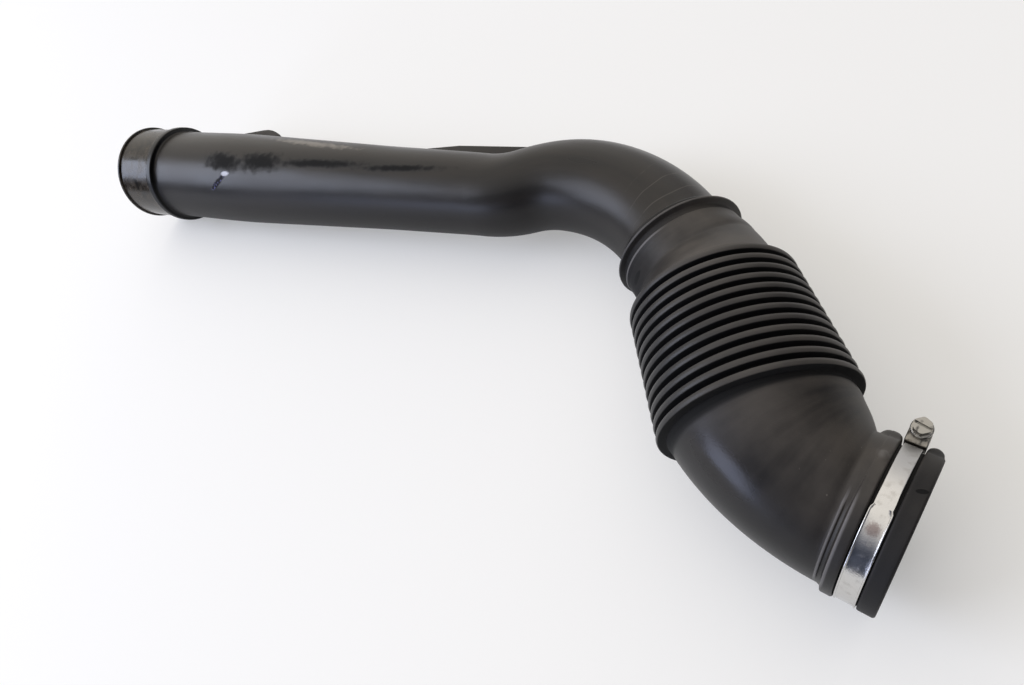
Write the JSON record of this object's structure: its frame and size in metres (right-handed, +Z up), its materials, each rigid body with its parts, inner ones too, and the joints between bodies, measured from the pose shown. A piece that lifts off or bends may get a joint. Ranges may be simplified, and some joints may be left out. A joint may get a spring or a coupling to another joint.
{
  "type": "air intake duct",
  "caption": "Car air intake duct: a bent plastic pipe with a spigot and stop collar, a rubber bellows boot over its end, and a worm-drive hose clamp on the boot's mouth.",
  "frame": {"origin": "middle of the footprint, on the table the duct lies on", "axes": "+X along the pipe's straight run, from the spigot towards the boot; +Y to the side of the mounting lug; +Z up"},
  "size_m": [0.6129, 0.2496, 0.0997],
  "materials": {
    "pipe_plastic": "satin, oily at the spigot",
    "boot_rubber": "matt, moulded",
    "band_steel": "bright polished",
    "housing_steel": "plain pressed",
    "screw_steel": "zinc plated"
  },
  "bodies": {
    "intake": {"intake_pipe": "pipe_plastic", "bellows_boot": "boot_rubber", "clamp_band": "band_steel", "clamp_housing": "housing_steel"},
    "clamp_screw": {"clamp_screw": "screw_steel"}
  },
  "joints": [
    {"name": "screw_turn", "type": "hinge", "parent": "intake", "child": "clamp_screw", "pos_m": [0.2954, -0.04228, 0.04474], "axis": [-0.0463, -0.1369, 0.9895], "continuous": true}
  ]
}
